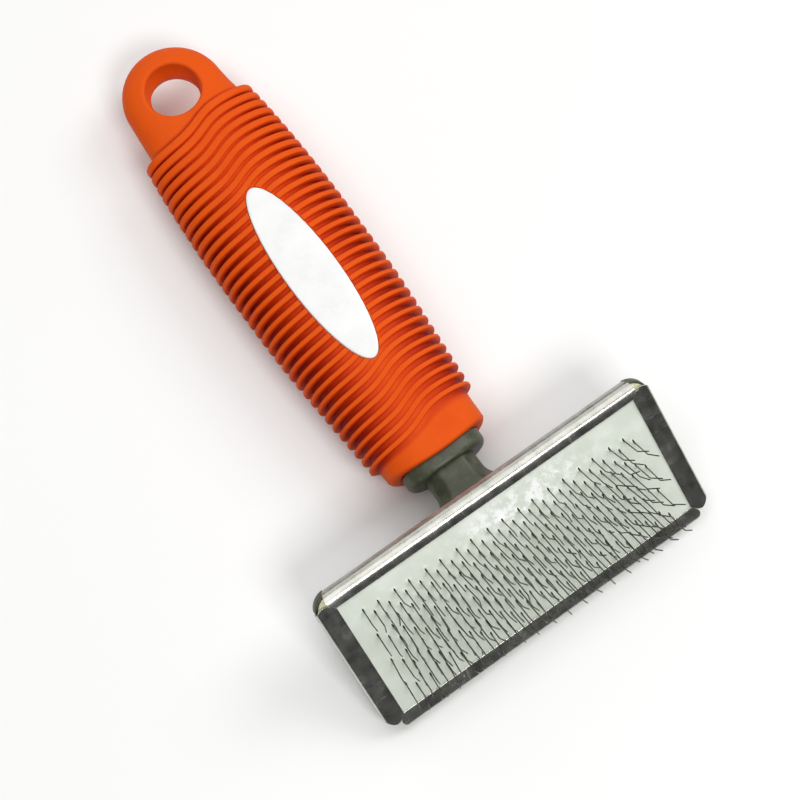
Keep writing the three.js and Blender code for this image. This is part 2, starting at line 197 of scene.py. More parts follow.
FOAM_GRID = (48, 20)
FOAM_PINCH = 0.5
FOAM_GRAIN = 0.02
PAD_CROWN = 1.25
PAD_EDGE_RISE = 0.2

ROW_COUNT = 14
ROW_FIRST = 12.6
ROW_PITCH = 2.08
ROW_SKEW = math.radians(-1.9)
ROW_REPEAT = 4
PIN_COUNT = 18
PIN_PITCH = 4.88
PIN_START = -43.0
STAPLE_INSET = 0.165
WIRE_RADIUS = 0.175
CROWN_DEPTH = -1.7
WIRE_BENDS = [1.3, 0.6, 0.6, 1.3]  # radii of a staple's knees and crown
LEG_LENGTH = 9.0
LEG_SHARES = (0.96, 1.0)
NEAR_LEG_SHORTER = 0.45
LEG_LEAN = math.radians(19)
LEG_SCATTER = (1.6, 1.5)  # degrees of lean and of splay
LEAN_FAN = math.radians(0.45)
TIP_LENGTH = 5.0
TIP_SHARES = (0.82, 0.94)
TIP_LEAN = math.radians(-10)
TIP_SCATTER = (5, 6)
TIP_MARGIN = 0.3
TIP_CUT = 0.1
PIN_SEED, SKIN_SEED, FOAM_SEED = 7, 3, 11

# -------------------- studio
CAMERA_PLACE = (-86.34, -175.61, 624.59)  # millimetres, as its target is
CAMERA_TARGET = (0.72, -24.29, 10.0)
CAMERA_ROLL = math.radians(-5.63)
CAMERA_LENS = 104.49
SENSOR_WIDTH = 36
CLIP_START = 0.01
WORLD_COLOUR = (0.95, 0.97, 1.0, 1)
WORLD_STRENGTH = 0.06
FLOOR_HALF = 6.0  # metres
# name, place, target, and width and height, in metres; watts
SOFTBOXES = [
    ("overhead", (-0.1, 0.35, 1.7), (0, 0.05, 0), (2.4, 1.8), 20),
    ("front", (0.05, -0.95, 1.3), (0, 0, 0), (0.6, 0.5), 10),
    ("side", (1.25, 0.05, 1.15), (0, 0, 0), (0.8, 0.8), 10),
    ("card", (0.0, 1.7, 0.95), (0, 0, 0.05), (2.2, 1.0), 7),
]

# -------------------- the two frames, in metres
badge_low, badge_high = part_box("badge")
hole_place = Vector((
    (badge_low.x + badge_high.x) / 2,
    (badge_low.y + badge_high.y) / 2 + BADGE_CENTRE * MM,
    badge_high.z - BADGE_CAD_TOP * MM,
))
HANDLE = Matrix.Translation(hole_place) @ Matrix.Scale(MM, 4)
HEAD = (HANDLE @ Matrix.Translation((0, -HEAD_DISTANCE, HEAD_RISE))
        @ Matrix.Rotation(HEAD_TILT, 4, "X"))


# -------------------- mesh helpers
MERGE_WITHIN = 2e-6
SMOOTH_BELOW = math.radians(35)  # edges with a smaller angle than this are shaded smooth
SLEEVE_SMOOTH_BELOW = math.radians(50)


def raw_piece(name, points, faces, place):
    """An object with its mesh in the model's frame; place takes the points' frame to that one."""
    mesh = bpy.data.meshes.new(name)
    mesh.from_pydata([tuple(p) for p in points], [], faces)
    mesh.transform(place)
    obj = bpy.data.objects.new(name, mesh)
    bpy.context.scene.collection.objects.link(obj)
    return obj


def new_piece(name, points, faces, place, sharp=SMOOTH_BELOW):
    obj = raw_piece(name, points, faces, place)
    tidy(obj, sharp)
    return obj


def add_values(obj, name, values):
    """Gives a mesh one number at each point, which its material reads."""
    obj.data.attributes.new(name, "FLOAT", "POINT").data.foreach_set("value", values)


def tidy(obj, sharp):
    """Merges doubled points, turns the faces outwards and sets smooth shading up to an angle."""
    mesh = bmesh.new()
    mesh.from_mesh(obj.data)
    bmesh.ops.remove_doubles(mesh, verts=mesh.verts, dist=MERGE_WITHIN)
    bmesh.ops.recalc_face_normals(mesh, faces=mesh.faces)
    mesh.to_mesh(obj.data)
    mesh.free()
    obj.data.shade_smooth()
    obj.data.set_sharp_from_angle(angle=sharp)


def apply_modifiers(obj):
    graph = bpy.context.evaluated_depsgraph_get()
    finished = bpy.data.meshes.new_from_object(obj.evaluated_get(graph))
    obj.modifiers.clear()
    obj.data = finished


def boolean(obj, operation, tool, sharp=SMOOTH_BELOW):
    modifier = obj.modifiers.new("boolean", "BOOLEAN")
    modifier.operation = operation
    modifier.solver = "EXACT"
    modifier.object = tool
    apply_modifiers(obj)
    bpy.data.objects.remove(tool)
    tidy(obj, sharp)


def bevel(obj, width, segments=3, angle=math.radians(40)):
    modifier = obj.modifiers.new("bevel", "BEVEL")
    modifier.width = width * MM
    modifier.segments = segments
    modifier.limit_method = "ANGLE"
    modifier.angle_limit = angle
    apply_modifiers(obj)
    tidy(obj, SMOOTH_BELOW)


def loft_faces(ring_count, sides, start_cap=True, end_cap=True):
    faces = []
    for r in range(ring_count - 1):
        for i in range(sides):
            a, b = r * sides + i, r * sides + (i + 1) % sides
            faces.append((a, b, b + sides, a + sides))
    if start_cap:
        faces.append(tuple(reversed(range(sides))))
    if end_cap:
        faces.append(tuple((ring_count - 1) * sides + i for i in range(sides)))
    return faces


def superellipse(half, exponent, sides):
    """Points of a rounded section round the handle, as an array of x and z."""
    angle = np.arange(sides) / sides * 2 * math.pi
    c, s = np.cos(angle), np.sin(angle)
    x = half[0] * np.sign(c) * np.abs(c) ** (2 / exponent)
    z = half[1] * np.sign(s) * np.abs(s) ** (2 / exponent)
    return x, z


def along(table, distance, column):
    """Smooth value of a table's column between its stations."""
    last = len(table) - 1
    if distance <= table[0][0]:
        return table[0][column]
    if distance >= table[last][0]:
        return table[last][column]
    i = next(j for j in range(last) if distance <= table[j + 1][0])

    def slope(j):
        low, high = table[max(j - 1, 0)], table[min(j + 1, last)]
        return (high[column] - low[column]) / (high[0] - low[0])

    span = table[i + 1][0] - table[i][0]
    t = (distance - table[i][0]) / span
    return ((2 * t**3 - 3 * t**2 + 1) * table[i][column] + (t**3 - 2 * t**2 + t) * span * slope(i)
            + (3 * t**2 - 2 * t**3) * table[i + 1][column] + (t**3 - t**2) * span * slope(i + 1))


def arc(first, last, step):
    """Cosine and sine of angles in degrees, from first and short of last."""
    angles = [math.radians(degrees) for degrees in range(first, last, step)]
    return [(math.cos(a), math.sin(a)) for a in angles]


def oval(centre, half, sides=10):
    steps = [2 * math.pi * i / sides for i in range(sides)]
    return [(centre[0] + half[0] * math.cos(a), centre[1] + half[1] * math.sin(a)) for a in steps]


def smooth_step(value, start, end):
    t = min(max((value - start) / (end - start), 0.0), 1.0)
    return t * t * (3 - 2 * t)


def rounded_outline(half, radii, steps=8):
    """Corners of a rounded rectangle, anticlockwise; radii are for +Y and for -Y corners."""
    points = []
    for sx, sy, start in ((1, -1, -90), (1, 1, 0), (-1, 1, 90), (-1, -1, 180)):
        r = radii[0] if sy > 0 else radii[1]
        x, y = sx * (half[0] - r), sy * (half[1] - r)
        for k in range(steps + 1):
            a = math.radians(start + 90 * k / steps)
            points.append((x + r * math.cos(a), y + r * math.sin(a)))
    return points


def prism(name, outline, bottom, top, place):
    points = [(x, y, bottom) for x, y in outline] + [(x, y, top) for x, y in outline]
    return new_piece(name, points, loft_faces(2, len(outline)), place)


# -------------------- materials
# distances are in metres, and noise and band scales are per metre
LIP_METRES = (0.0055, 0.0075)  # from the lip's edge round the fold, where a rail turns duller


def linear(code):
    """Linear colour from a hexadecimal display colour."""
    parts = [(code >> shift & 255) / 255 for shift in (16, 8, 0)]
    return tuple(p / 12.92 if p <= 0.04045 else ((p + 0.055) / 1.055) ** 2.4 for p in parts)


def add_node(tree, kind, inputs=(), **settings):
    node = tree.nodes.new(kind)
    for setting, value in settings.items():
        setattr(node, setting, value)
    for socket, value in dict(inputs).items():
        if isinstance(value, bpy.types.NodeSocket):
            tree.links.new(value, node.inputs[socket])
        else:
            node.inputs[socket].default_value = value
    return node


def new_material(name, code, roughness, metallic=0.0, specular=0.5):
    """A material with its shader's fixed values set. Returns it, its tree and its shader."""
    material = bpy.data.materials.new(name)
    material.use_nodes = True
    shader = next(n for n in material.node_tree.nodes if n.type == "BSDF_PRINCIPLED")
    shader.inputs["Base Color"].default_value = (*linear(code), 1)
    shader.inputs["Roughness"].default_value = roughness
    shader.inputs["Metallic"].default_value = metallic
    shader.inputs["Specular IOR Level"].default_value = specular
    return material, material.node_tree, shader


def coordinates(tree, stretch=(1, 1, 1), turn=(0, 0, 0), source="Object"):
    place = add_node(tree, "ShaderNodeTexCoord")
    return add_node(tree, "ShaderNodeMapping", {
        "Vector": place.outputs[source], "Scale": stretch, "Rotation": turn,
    }).outputs[0]


def attribute(tree, name):
    return add_node(tree, "ShaderNodeAttribute", attribute_name=name).outputs["Fac"]


def noise_value(tree, where, scale, detail=3.0, roughness=0.55):
    return add_node(tree, "ShaderNodeTexNoise", {
        "Vector": where, "Scale": scale, "Detail": detail, "Roughness": roughness,
    }).outputs[0]


def bands(tree, where, direction, scale=700.0, distortion=0.6):
    return add_node(tree, "ShaderNodeTexWave", {
        "Vector": where, "Scale": scale, "Distortion": distortion,
    }, bands_direction=direction).outputs["Fac"]


def remap(tree, value, low, high, to_low=0.0, to_high=1.0):
    return add_node(tree, "ShaderNodeMapRange", {
        "Value": value, "From Min": low, "From Max": high, "To Min": to_low, "To Max": to_high,
    }).outputs[0]


def spread(tree, value, to_low, to_high):
    """Spreads the range that a noise mostly keeps to."""
    return remap(tree, value, 0.3, 0.7, to_low, to_high)


def combine(tree, operation, a, b):
    return add_node(tree, "ShaderNodeMath", {0: a, 1: b}, operation=operation).outputs[0]


def ramp(tree, value, *stops):
    """Colours along a value; stops are (position, hexadecimal display colour)."""
    node = add_node(tree, "ShaderNodeValToRGB", {"Fac": value})
    elements = node.color_ramp.elements
    while len(elements) < len(stops):
        elements.new(0.5)
    for element, (position, code) in zip(elements, stops):
        element.position = position
        element.color = (*linear(code), 1)
    return node.outputs["Color"]


def paint(tree, shader, colour, roughness=None):
    tree.links.new(colour, shader.inputs["Base Color"])
    if roughness is not None:
        tree.links.new(roughness, shader.inputs["Roughness"])


def bump(tree, shader, height, distance, strength=1.0, under=None):
    inputs = {"Height": height, "Distance": distance, "Strength": strength}
    if under is not None:
        inputs["Normal"] = under
    normal = add_node(tree, "ShaderNodeBump", inputs).outputs[0]
    tree.links.new(normal, shader.inputs["Normal"])
    return normal


def rubber_material():
    """Soft orange rubber with painted shade: darker and redder down in its grooves and its cavity.
    """
    material, tree, shader = new_material("grip_rubber", 0xE04A0A, 0.5, specular=0.12)
    where = coordinates(tree)
    # painted shade: the depth value darkens and reddens the rubber in its grooves and cavity
    depth = attribute(tree, "depth")
    blotches = noise_value(tree, where, 60, 4)
    shade = combine(tree, "ADD", depth, spread(tree, blotches, -0.12, 0.12))
    paint(tree, shader, ramp(tree, shade, (0.0, 0xE1540A), (0.35, 0xD24007), (1.0, 0x981803)),
          spread(tree, blotches, 0.5, 0.62))
    bump(tree, shader, noise_value(tree, where, 2600, 3), 0.00003, 0.6)
    return material


def olive_material():
    """Mottled olive-grey plastic."""
    material, tree, shader = new_material("core_plastic", 0x4A4D3D, 0.42)
    where = coordinates(tree)
    clouds = noise_value(tree, where, 420, 6, 0.7)
    paint(tree, shader, ramp(tree, clouds, (0.3, 0x36392A), (0.55, 0x474A37), (0.75, 0x5E614B)),
          spread(tree, clouds, 0.36, 0.52))
    bump(tree, shader, noise_value(tree, where, 1800, 2), 0.00003, 0.5)
    return material


def badge_material():
    material, tree, shader = new_material("badge_plastic", 0xF6F6F5, 0.28)
    where = coordinates(tree)
    haze = noise_value(tree, where, 90, 3)
    paint(tree, shader, ramp(tree, haze, (0.35, 0xE9E9E8), (0.6, 0xF1F1F0)),
          spread(tree, haze, 0.24, 0.34))
    bump(tree, shader, noise_value(tree, where, 60, 2), 0.000004, 0.2)
    return material


def rail_material():
    """Worn sheet steel: stains, streaks along the strip, scratches, and duller walls."""
    material, tree, shader = new_material("rail_steel", 0xC4C4BC, 0.3, metallic=1.0)
    where = coordinates(tree)
    strip = coordinates(tree, (15, 700, 1), source="UV")
    crossed = coordinates(tree, (900, 90, 1), (0, 0, math.radians(35)), source="UV")
    stains = noise_value(tree, where, 260, 5, 0.6)
    streaks = noise_value(tree, strip, 1, 5, 0.65)
    scratches = noise_value(tree, crossed, 1, 3, 0.5)
    tone = combine(tree, "ADD", spread(tree, stains, 0.2, 0.8), spread(tree, streaks, -0.3, 0.3))
    rough = combine(tree, "ADD", spread(tree, stains, 0.2, 0.28),
                    remap(tree, scratches, 0.64, 0.74, 0.0, 0.12))
    down = add_node(tree, "ShaderNodeSeparateXYZ", {0: coordinates(tree, source="UV")}).outputs["Y"]
    rough = combine(tree, "ADD", rough, remap(tree, down, *LIP_METRES, 0.0, 0.35))
    paint(tree, shader, ramp(tree, tone, (0.0, 0xA3A39B), (0.5, 0xC4C4BC), (1.0, 0xDADAD2)), rough)
    grain = bump(tree, shader, streaks, 0.00001, 0.6)
    bump(tree, shader, scratches, 0.00001, 0.25, grain)
    return material


def skin_material():
    """Pale rubber with painted shade among the pins, and powdery where it is scuffed."""
    material, tree, shader = new_material("face_rubber", 0xE2EAE0, 0.36)
    where = coordinates(tree)
    scuff = attribute(tree, "scuff")
    # painted shade among the pins, which darkens the tone
    pin_shade = attribute(tree, "pin_shade")
    clouds = noise_value(tree, where, 130, 5, 0.6)
    patches = noise_value(tree, where, 420, 5, 0.7)
    powder = combine(tree, "MULTIPLY", scuff, remap(tree, patches, 0.45, 0.6))
    tone = combine(tree, "ADD", spread(tree, clouds, -0.15, 0.15),
                   combine(tree, "SUBTRACT", powder, combine(tree, "MULTIPLY", pin_shade, 0.12)))
    tone = combine(tree, "ADD", tone, 0.5)
    paint(tree, shader, ramp(tree, tone, (0.0, 0xCFD3C4), (0.5, 0xDAE1D4), (1.0, 0xFBFCF8)),
          spread(tree, patches, 0.28, 0.5))
    bump(tree, shader, patches, 0.0001, 0.4)
    return material


def cloth_material():
    """Cream cloth, woven in the plane of the head."""
    material, tree, shader = new_material("foundation_cloth", 0xDCD9B4, 0.8)
    where = coordinates(tree, turn=(-HEAD_TILT, 0, 0))
    weave = combine(tree, "MAXIMUM", bands(tree, where, "X"), bands(tree, where, "Y"))
    paint(tree, shader, ramp(tree, weave, (0.2, 0xB9B684), (0.9, 0xE8E6C6)))
    bump(tree, shader, weave, 0.00008, 0.8)
    return material


def foam_material():
    material, tree, shader = new_material("cushion_foam", 0x8F9188, 0.95, specular=0.2)
    cells = add_node(tree, "ShaderNodeTexVoronoi", {"Vector": coordinates(tree), "Scale": 1500.0})
    away = cells.outputs["Distance"]
    paint(tree, shader, ramp(tree, away, (0.1, 0x5F6159), (0.6, 0x9DA096)))
    bump(tree, shader, away, 0.0002, 0.8)
    return material


def pin_material():
    material, tree, shader = new_material("pin_steel", 0x55534D, 0.34, metallic=1.0)
    where = coordinates(tree)
    wear = noise_value(tree, where, 500, 3)
    paint(tree, shader, ramp(tree, wear, (0.3, 0x4A4842), (0.7, 0x7A776D)),
          spread(tree, wear, 0.22, 0.42))
    bump(tree, shader, noise_value(tree, where, 4000, 2), 0.00001, 0.4)
    return material


def floor_material():
    material, tree, shader = new_material("floor", 0xF4F4F3, 0.6, specular=0.2)
    paper = noise_value(tree, coordinates(tree), 3, 2)
    paint(tree, shader, ramp(tree, paper, (0.3, 0xF2F2F1), (0.7, 0xF6F6F5)))
    return material


def finish_piece(obj, material, slot, body, *nodes):
    obj.data.materials.clear()
    obj.data.materials.append(material)
    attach(obj, body)
    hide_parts(*nodes)


# -------------------- grip sleeve
def sleeve_body(distance):
    return along(SLEEVE_BODY, distance, 1), along(SLEEVE_BODY, distance, 2)


def swing_at(distance):
    """How strongly a ring follows the ribs' wave; none at the smooth ends."""
    start = smooth_step(distance, RIB_SWING_START, FIRST_GROOVE)
    finish = smooth_step(distance, LAST_GROOVE, RIB_SWING_END)
    return RIB_SWING * start * (1 - finish)


def place_ring(x, z, distance, swing):
    return np.column_stack([x, -distance + swing * np.tanh(x / RIB_SWING_WIDTH), z])


def plain_ring(distance, half=None, exponent=SLEEVE_ROUNDNESS, swing=None):
    x, z = superellipse(half or sleeve_body(distance), exponent, SLEEVE_SIDES)
    return place_ring(x, z, distance, swing_at(distance) if swing is None else swing)


def rib_rings(index):
    """Rings over one rib and the groove after it: a crest with round edges and straight sides."""
    crest = RIB_FIRST + index * RIB_PITCH
    half = sleeve_body(crest)
    rise = (along(RIBS, crest, 1), along(RIBS, crest, 2))
    turn = np.abs(np.cos(np.arange(SLEEVE_SIDES) / SLEEVE_SIDES * 2 * math.pi))  # 1 at the sides
    half_rib = along(RIBS, crest, 4) + (along(RIBS, crest, 3) - along(RIBS, crest, 4)) * turn
    fade = smooth_step(crest, *GROOVE_START) * (1 - smooth_step(crest, *GROOVE_FINISH))
    roundness = SLEEVE_ROUNDNESS + (GROOVE_ROUNDNESS - SLEEVE_ROUNDNESS) * fade
    body_x, body_z = superellipse(half, roundness, SLEEVE_SIDES)
    top = (half[0] + rise[0], half[1] + rise[1])
    top_x, top_z = superellipse(top, SLEEVE_ROUNDNESS, SLEEVE_SIDES)
    height = np.hypot(top_x - body_x, top_z - body_z)
    rounding = np.minimum(along(RIBS, crest, 5), RIB_ROUNDING_SHARE * height)
    flat = half_rib - rounding

    def ring(offset, level):
        share = level / height
        x, z = body_x + (top_x - body_x) * share, body_z + (top_z - body_z) * share
        # painted shade, fullest at the groove's floor and stronger at the sides than at the front
        depth = (1 - share) * (GROOVE_FRONT_SHADE + (1 - GROOVE_FRONT_SHADE) * turn)
        return place_ring(x, z, crest + offset, swing_at(crest)), depth

    side = [(flat * RIB_SHOULDER[0], height * RIB_SHOULDER[1])]
    side += [(flat + rounding * s, height - rounding * (1 - c)) for c, s in arc(0, 91, 30)]
    side += [(half_rib + out, height * share) for out, share in RIB_FEET]
    before = [ring(-offset, level) for offset, level in reversed(side)]
    after = [ring(offset, level) for offset, level in side]
    return before + [ring(0, height)] + after + [ring(RIB_PITCH / 2, height * 0)]


def sleeve_rings():
    """Rings from the hanging end to the mouth, and back along the tang's cavity. Each has its
    depth, painted as shade in the rubber's colour: 0 on the outside, and 1 deep in a groove or in
    the cavity."""
    rings, painted_shades = [], []

    def keep(ring, depth=0.0):
        rings.append(ring)
        painted_shades.append(np.full(SLEEVE_SIDES, depth) if np.isscalar(depth) else depth)

    x, z = superellipse(TAIL_HALF, SLEEVE_ROUNDNESS, SLEEVE_SIDES)
    for c, s in arc(90, 0, -5):
        keep(np.column_stack([x * c, np.abs(x) * s * TAIL_REACH / TAIL_HALF[0], z]))
    for k in range(10):
        keep(plain_ring(FIRST_GROOVE * k / 10))
    # a ring's second value is its painted shade
    keep(plain_ring(FIRST_GROOVE), 0.6)
    for i in range(RIB_COUNT):
        for ring, depth in rib_rings(i):
            keep(ring, depth)
    shoulder = SLEEVE_END - SLEEVE_EDGE
    for k in range(1, 9):
        distance = LAST_GROOVE + (shoulder - LAST_GROOVE) * k / 8
        keep(crowned(plain_ring(distance), distance), 0.3 if k == 1 else 0.0)
    for c, s in arc(15, 91, 15):
        distance = shoulder + SLEEVE_EDGE * s
        inset = SLEEVE_EDGE * (1 - c)
        half = tuple(h - inset for h in sleeve_body(distance))
        keep(crowned(plain_ring(distance, half), distance))
    mouth = tuple(h + MOUTH_EDGE for h in COUNTERBORE)
    keep(crowned(plain_ring(SLEEVE_END, mouth, COLLAR_ROUNDNESS, 0), SLEEVE_END), 0.5)
    keep(plain_ring(COUNTERBORE_FLOOR, COUNTERBORE, COLLAR_ROUNDNESS, 0), 1.0)
    wide = tuple(h + GAP for h in TANG_LARGE)
    narrow = tuple(h + GAP for h in TANG_SMALL)
    for share in (0, 0.25, 0.5, 0.75, 1):
        half = tuple(w + (n - w) * share for w, n in zip(wide, narrow))
        distance = COUNTERBORE_FLOOR + (TANG_START - GAP - COUNTERBORE_FLOOR) * share
        keep(plain_ring(distance, half, TANG_ROUNDNESS, 0), 1.0)
    return rings, painted_shades


def crowned(ring, distance):
    """Bends a ring of the smooth end so that the end is rounded towards the head."""
    share = smooth_step(distance, LAST_GROOVE, SLEEVE_END)
    rise, fall = END_CROWN
    ring[:, 1] -= share * (rise - fall * (ring[:, 0] / sleeve_body(SLEEVE_END)[0]) ** 2)
    return ring


def sleeve_height(x, y):
    """Height of the smooth hanging end's surface over a point of the handle frame."""
    if y > 0:
        x, y = math.hypot(x, y * TAIL_HALF[0] / TAIL_REACH), 0.0
    half_width, half_thickness = sleeve_body(-y)
    inside = max(1 - (abs(x) / half_width) ** SLEEVE_ROUNDNESS, 0)
    return half_thickness * inside ** (1 / SLEEVE_ROUNDNESS)


def hole_cutter():
    """The hanging hole as a solid: a wall with a faint parting line, and rounded rims."""
    columns = []
    for c, s in oval((0, 0), (1, 1), ROUND_SIDES):
        rim = HOLE_RIM + HOLE_STRETCH * max(s, 0) ** 2
        near, far = rim + HOLE_FILLET, rim + 2 * HOLE_FILLET
        top = sleeve_height(near * c, near * s)
        slope = (sleeve_height(far * c, far * s) - top) / (far - near)
        low = top - HOLE_FILLET * math.hypot(1, slope)
        profile = [(HOLE_RADIUS - proud, height) for proud, height in HOLE_LINE]
        end = math.atan2(1, -slope)
        for k in range(9):
            a = math.pi + (end - math.pi) * k / 8
            profile.append((near + HOLE_FILLET * math.cos(a), low + HOLE_FILLET * math.sin(a)))
        radius, height = profile[-1]
        outer = radius + HOLE_FLARE[0]
        profile += [(outer, height + HOLE_FLARE[0] * slope + HOLE_FLARE[1]), (outer, CUTTER_TOP)]
        columns.append([(r * c, r * s, z) for r, z in profile])
    upper = [[column[j] for column in columns] for j in range(len(columns[0]))]
    lower = [[(x, y, -z) for x, y, z in ring] for ring in upper[:0:-1]]
    return ring_solid("hole_cutter", lower + upper)


def ring_solid(name, rings):
    points = [p for ring in rings for p in ring]
    return new_piece(name, points, loft_faces(len(rings), ROUND_SIDES), HANDLE)


def badge_top(distance):
    """Height of the badge's middle line, a little proud of the ribs beside it."""
    return sleeve_body(distance)[1] + BADGE_PROUD


def badge_shape(name, margin, levels):
    """A solid over the badge's oval; levels are (share of the oval, height over middle line)."""
    rings = []
    for share, level in levels:
        ring = []
        half = tuple((h + margin) * share for h in BADGE_HALF)
        for x, y in oval((0, 0), half, ROUND_SIDES):
            dome = BADGE_DOME * (x / BADGE_HALF[0]) ** 2
            ring.append((x, y - BADGE_CENTRE, badge_top(BADGE_CENTRE - y) - dome + level))
        rings.append(ring)
    return ring_solid(name, rings)


def grip_sleeve():
    rings, painted_shades = sleeve_rings()
    faces = loft_faces(len(rings), SLEEVE_SIDES, start_cap=False)
    grip = raw_piece("grip", np.concatenate(rings), faces, HANDLE)
    # the painted shade for the rubber's colour, one value at each point
    add_values(grip, "depth", np.concatenate(painted_shades))
    tidy(grip, SLEEVE_SMOOTH_BELOW)
    boolean(grip, "DIFFERENCE", hole_cutter(), SLEEVE_SMOOTH_BELOW)
    floor = -BADGE_THICKNESS - RECESS_UNDER
    levels = [(BADGE_MIDDLE, floor), (1, floor), (1, RECESS_TOP), (BADGE_MIDDLE, RECESS_TOP)]
    recess = badge_shape("badge_recess", RECESS_MARGIN, levels)
    boolean(grip, "DIFFERENCE", recess, SLEEVE_SMOOTH_BELOW)
    finish_piece(grip, rubber_material(), "grip_rubber", "handle", "grip_sleeve")


def badge():
    levels = [(share, 0.0) for share in (BADGE_MIDDLE, 0.25, 0.5, 0.75, 0.93)] + BADGE_EDGE
    levels += [(share, -BADGE_THICKNESS) for share in (1.0, 0.5, BADGE_MIDDLE)]
    piece = badge_shape("label_badge", 0.0, levels)
    finish_piece(piece, badge_material(), "badge_plastic", "handle", "badge")


# -------------------- core: tang, collar, neck, tray
def section_loft(name, stations, exponent):
    """A solid along the handle; stations are (distance, half width, half thickness)."""
    rings = []
    for distance, width, thickness in stations:
        x, z = superellipse((width, thickness), exponent, ROUND_SIDES)
        rings.append(np.column_stack([x, np.full(ROUND_SIDES, -distance), z]))
    return ring_solid(name, rings)


def collar():
    stations = [(COLLAR_START, *COLLAR_HALF)]
    for c, s in arc(0, 91, 15):
        width, thickness = (h - e * (1 - c) for h, e in zip(COLLAR_HALF, COLLAR_EDGE))
        stations.append((COLLAR_END - COLLAR_EDGE[2] * (1 - s), width, thickness))
    return section_loft("collar", stations, COLLAR_ROUNDNESS)


def neck():
    """The eight-sided neck, which widens in round fillets into its base behind the head."""
    (width, height), (facet, side) = NECK_HALF, NECK_FACET
    stations = [(NECK_START, 0.0), (FAN_START, 0.0)]
    for k in range(1, 9):
        a = math.pi / 2 * k / 9
        stations.append((FAN_START + NECK_FILLET * math.sin(a), NECK_FILLET * (1 - math.cos(a))))
    for distance, past in zip((FAN_START + NECK_FILLET, HEAD_DISTANCE), FAN_OVERRUN):
        stations.append((distance + past, FAN_HALF - width))
    points = []
    for distance, wider in stations:
        for x, z in ((facet, height), (-facet, height), (-width, side), (-width, -side),
                     (-facet, -height), (facet, -height), (width, -side), (width, side)):
            points.append((x + math.copysign(wider, x), -distance, z))
    piece = new_piece("neck", points, loft_faces(len(stations), 8), HANDLE)
    bevel(piece, NECK_EDGE, 3, math.radians(25))
    return piece


def head_half(inset):
    """Half width and half depth of the head at a distance inside its outer edge."""
    return tuple(opening + width - inset for opening, width in zip(OPENING, RAIL_WIDTH))


def corner_block(side):
    """The tray's exposed near corner, flush with the rails beside it."""
    width, depth = head_half(BLOCK_INSET)
    radius = TRAY_CORNERS[0]
    centre = (width - radius, depth - radius)
    inner = (OPENING[0] + BLOCK_GAP[0], OPENING[1] + BLOCK_GAP[1])
    start = math.asin((inner[1] - centre[1]) / radius)
    end = math.acos((inner[0] - centre[0]) / radius)
    outline = [(inner[0], OPENING[1] + BLOCK_NOTCH), (OPENING[0] + BLOCK_NOTCH, inner[1])]
    for k in range(15):
        a = start + (end - start) * k / 14
        outline.append((centre[0] + radius * math.cos(a), centre[1] + radius * math.sin(a)))
    outline = [(side * x, y) for x, y in outline]
    piece = prism("corner_block", outline, RAIL_BOTTOM + 0.1, TRAY_TOP - 0.02, HEAD)
    bevel(piece, BLOCK_EDGE, 3, math.radians(50))
    return piece


def tray():
    """The plate behind the pad: its flange, its deeper middle and the pocket for the foam."""
    edge = rounded_outline(head_half(SHEET + GAP), TRAY_CORNERS)
    flange = prism("tray", edge, TRAY_FLANGE, TRAY_TOP, HEAD)
    deeper = rounded_outline(head_half(TRAY_INSET), (3, 3))
    middle = prism("middle", deeper, TRAY_BOTTOM, TRAY_TOP - 0.5, HEAD)
    bevel(middle, TRAY_EDGE, 4, math.radians(60))
    boolean(flange, "UNION", middle)
    hollow = rounded_outline(head_half(POCKET_INSET), (2, 2))
    boolean(flange, "DIFFERENCE", prism("pocket", hollow, POCKET_FLOOR, 3, HEAD))
    for side in (-1, 1):
        boolean(flange, "UNION", corner_block(side))
    return flange


def handle_core():
    """Tang, collar, neck and tray in one, with the neck cut off inside the tray."""
    stem = neck()
    around = [(-80, -60), (80, -60), (80, 60), (-80, 60)]
    boolean(stem, "DIFFERENCE", prism("above_tray", around, TRAY_BOTTOM + 0.4, 90, HEAD))
    tang = [(TANG_START, *TANG_SMALL), (COLLAR_START + 1, *TANG_LARGE)]
    core = section_loft("core", tang, TANG_ROUNDNESS)
    for part in (collar(), stem, tray()):
        boolean(core, "UNION", part)
    finish_piece(core, olive_material(), "core_plastic", "handle", "handle_core")


# -------------------- steel rails
# How far a rail's end reaches past the opening's corner: (distance round the fold from the lip's
# edge, reach). The wall and the flange end short of the lip.
NEAR_END = [(0, -0.1), (1.4, 1.25), (3.1, 1.9), (4.3, 1.7), (6, 1.1), (8, 0.2), (9.5, -0.5),
            (14, -0.9)]
SIDE_NEAR_END = [(0, -0.1), (1.5, 1.35), (3.2, 2.15), (4.6, 1.75), (6, 0.9), (8, 0.1), (14, -0.6)]
SIDE_FAR_END = [(0, -0.1), (1.5, 1.35), (3, 1.95), (4.4, 1.1), (5.4, -0.2), (8, -1.3), (14, -1.5)]
FAR_END = [(0, -0.1), (1.2, 1.05), (2.3, 1.65), (3.4, 1.4), (4.3, 0.4), (5.6, -0.6), (14, -1.0)]


def rail_section(width, bend):
    """The fold's outer and inner face, as (outwards, up) from the lip's edge to the flange's."""
    faces = []
    lip, foot, wall = width - bend[0], width - RAIL_BEND, RAIL_BOTTOM + RAIL_BEND
    for inset in (0, SHEET):
        line = [(lip * k / 9, RAIL_TOP - inset) for k in range(9)]
        for c, s in arc(90, -1, -10):
            line.append((lip + (bend[0] - inset) * c, RAIL_TOP - bend[1] + (bend[1] - inset) * s))
        for c, s in arc(0, -91, -15):
            line.append((foot + (RAIL_BEND - inset) * c, wall + (RAIL_BEND - inset) * s))
        for k in (1, 2, 3, 4):
            line.append((foot - (RAIL_UNDER - RAIL_BEND) * k / 4, RAIL_BOTTOM + inset))
        faces.append(line)
    return faces


